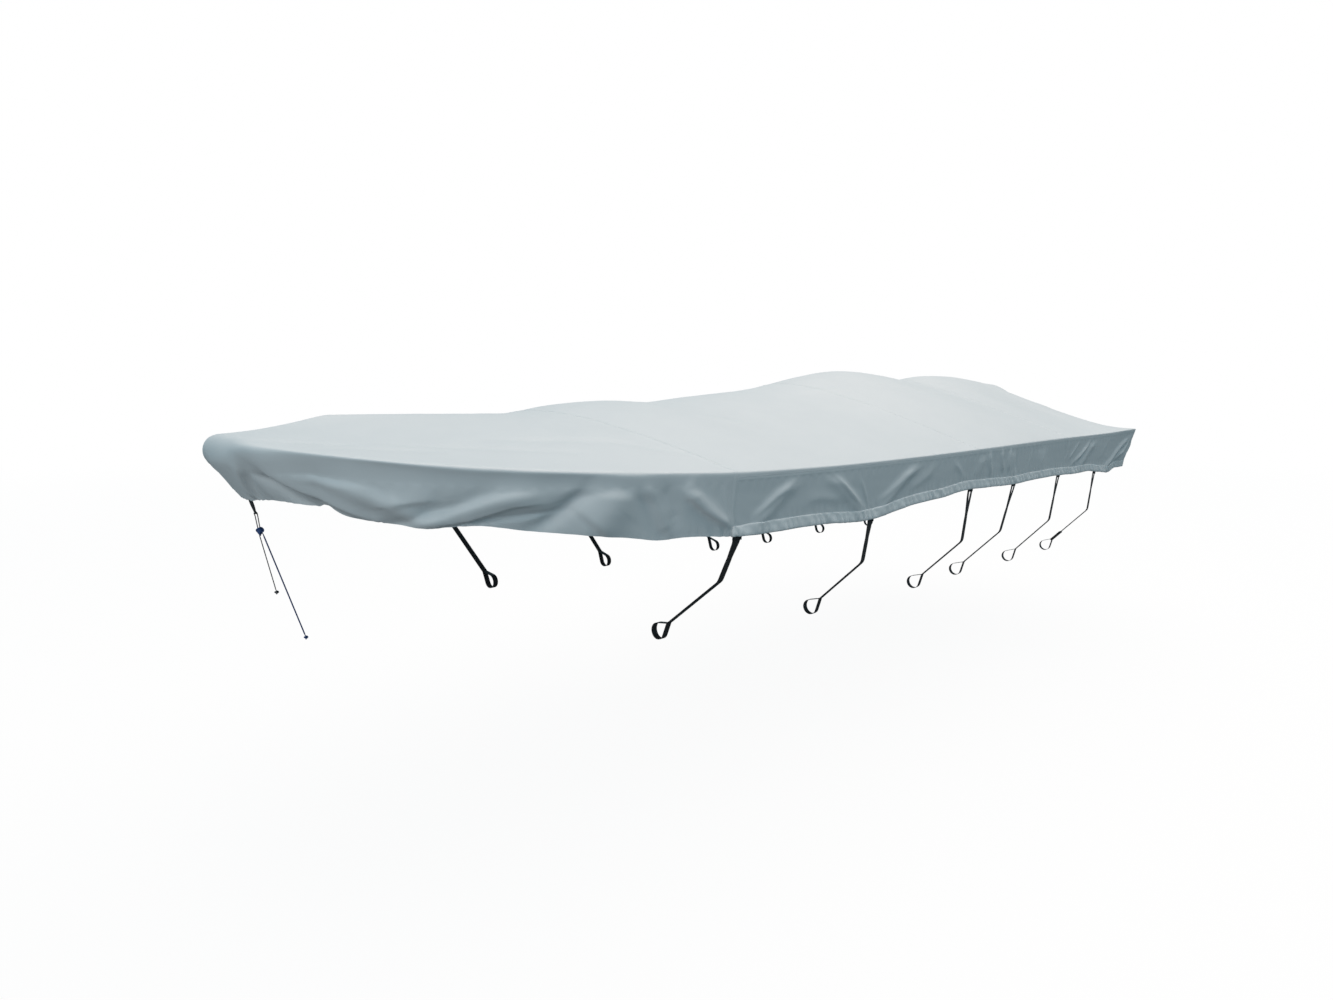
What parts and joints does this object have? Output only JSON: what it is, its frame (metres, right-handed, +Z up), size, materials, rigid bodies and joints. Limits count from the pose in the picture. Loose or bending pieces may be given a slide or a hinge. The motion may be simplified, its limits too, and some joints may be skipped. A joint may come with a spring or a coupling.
{
  "type": "boat cover",
  "caption": "Fitted boat cover of coated cloth, draped over a raised ridge, with hanging skirts, a drawcord hem, webbing tie-down straps down the sides and a cord tie at the bow.",
  "frame": {"origin": "under the top cloth, on the centre plane, halfway along the cover, where what it covers holds it up", "axes": "+X towards the bow, +Y to port, +Z up"},
  "size_m": [5.1808, 1.8517, 1.0881],
  "materials": {
    "top_cloth": "matt coated polyester, pale grey",
    "skirt_cloth": "matt coated polyester, pale grey",
    "tab_webbing": "black woven webbing",
    "strap_webbing": "black woven webbing",
    "buckle_plastic": "black moulded plastic",
    "blue_cord": "braided cord, blue",
    "fleck_cord": "braided cord, black with white flecks"
  },
  "bodies": {
    "root": {"bow_blue_cord": "blue_cord", "bow_blue_end_knot": "blue_cord", "bow_fleck_cord": "fleck_cord", "bow_fleck_end_knot": "fleck_cord", "bow_knot": "blue_cord", "bow_loop_cord": "fleck_cord", "bow_panel": "top_cloth", "bow_tab": "tab_webbing", "deck_aft": "top_cloth", "deck_forward": "top_cloth", "deck_middle": "top_cloth", "skirt_port_aft": "skirt_cloth", "skirt_port_forward": "skirt_cloth", "skirt_port_middle": "skirt_cloth", "skirt_starboard_aft": "skirt_cloth", "skirt_starboard_forward": "skirt_cloth", "skirt_starboard_middle": "skirt_cloth", "stern_skirt": "skirt_cloth", "strap_buckle": "buckle_plastic", "strap_port_1": "strap_webbing", "strap_port_2": "strap_webbing", "strap_port_3": "strap_webbing", "strap_port_4": "strap_webbing", "strap_port_5": "strap_webbing", "strap_port_6": "strap_webbing", "strap_starboard_1": "strap_webbing", "strap_starboard_2": "strap_webbing", "strap_starboard_3": "strap_webbing", "strap_starboard_4": "strap_webbing", "strap_starboard_5": "strap_webbing", "strap_starboard_6": "strap_webbing", "tab_port_1": "tab_webbing", "tab_port_2": "tab_webbing", "tab_port_3": "tab_webbing", "tab_port_4": "tab_webbing", "tab_port_5": "tab_webbing", "tab_port_6": "tab_webbing", "tab_starboard_1": "tab_webbing", "tab_starboard_2": "tab_webbing", "tab_starboard_3": "tab_webbing", "tab_starboard_4": "tab_webbing", "tab_starboard_5": "tab_webbing", "tab_starboard_6": "tab_webbing"}
  },
  "joints": []
}
